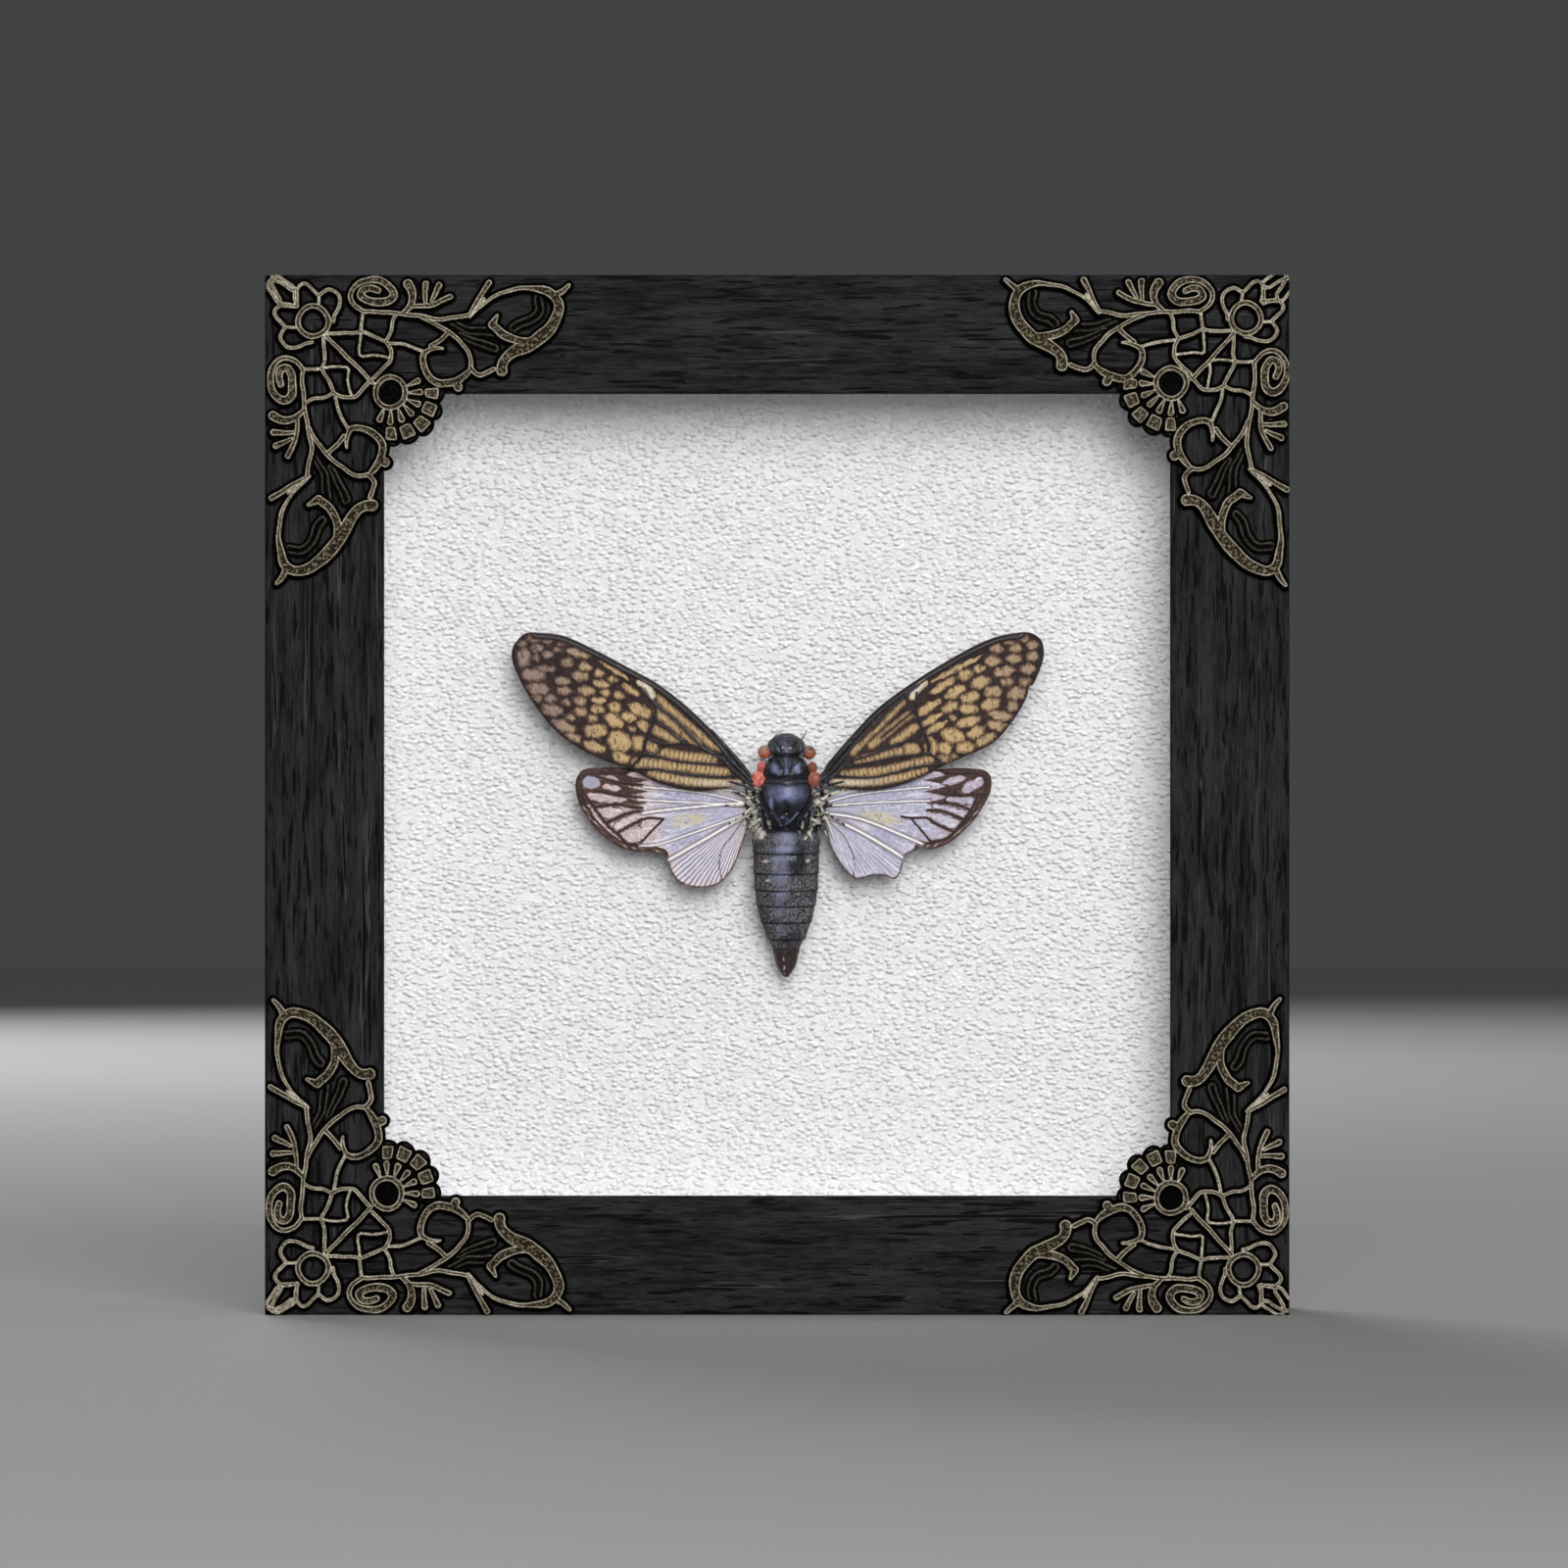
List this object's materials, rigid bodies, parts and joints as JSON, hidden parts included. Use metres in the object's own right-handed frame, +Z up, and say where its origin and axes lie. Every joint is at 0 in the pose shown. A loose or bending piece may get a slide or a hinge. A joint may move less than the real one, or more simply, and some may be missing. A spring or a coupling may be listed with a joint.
{
  "type": "framed insect specimen",
  "caption": "Spread cicada under glass in a small square black wooden shadow-box frame with pierced antique brass corner ornaments and a hanger on the back.",
  "frame": {"origin": "centre of the frame's lower edge, midway through the depth of the whole piece", "axes": "+Z up the frame, +Y from the glass towards the back, +X to the right seen from the front"},
  "size_m": [0.17, 0.028, 0.1726],
  "materials": {
    "black_wood": "black stained open grain, matt",
    "clear_glass": "clear float glass",
    "white_paper": "off-white, embossed like fine leather",
    "grey_board": "plain grey-brown board",
    "white_foam": "matt white foam strip",
    "bright_steel": "bright zinc plated",
    "antique_brass": "dark patina in the hollows, rubbed bright on the rims",
    "black_shell": "insect shell, glossy black with red-brown lobes and a fine nap on the abdomen",
    "fore_wing_membrane": "insect membrane, dark veins round tan cells",
    "hind_wing_membrane": "insect membrane, pale with white veins and a brown margin"
  },
  "bodies": {
    "root": {"frame_rail_top": "black_wood", "frame_rail_bottom": "black_wood", "frame_rail_left": "black_wood", "frame_rail_right": "black_wood", "corner_casting_top_left": "antique_brass", "corner_casting_top_right": "antique_brass", "corner_casting_bottom_left": "antique_brass", "corner_casting_bottom_right": "antique_brass", "glass_pane": "clear_glass", "spacer_top": "white_foam", "spacer_bottom": "white_foam", "spacer_left": "white_foam", "spacer_right": "white_foam", "backing_paper": "white_paper", "backing_board": "grey_board", "board_point_1": "bright_steel", "board_point_2": "bright_steel", "board_point_3": "bright_steel", "board_point_4": "bright_steel", "board_point_5": "bright_steel", "board_point_6": "bright_steel", "board_point_7": "bright_steel", "board_point_8": "bright_steel", "hanger": "bright_steel", "cicada_body": "black_shell", "fore_wing_left": "fore_wing_membrane", "fore_wing_right": "fore_wing_membrane", "hind_wing_left": "hind_wing_membrane", "hind_wing_right": "hind_wing_membrane"}
  },
  "joints": []
}
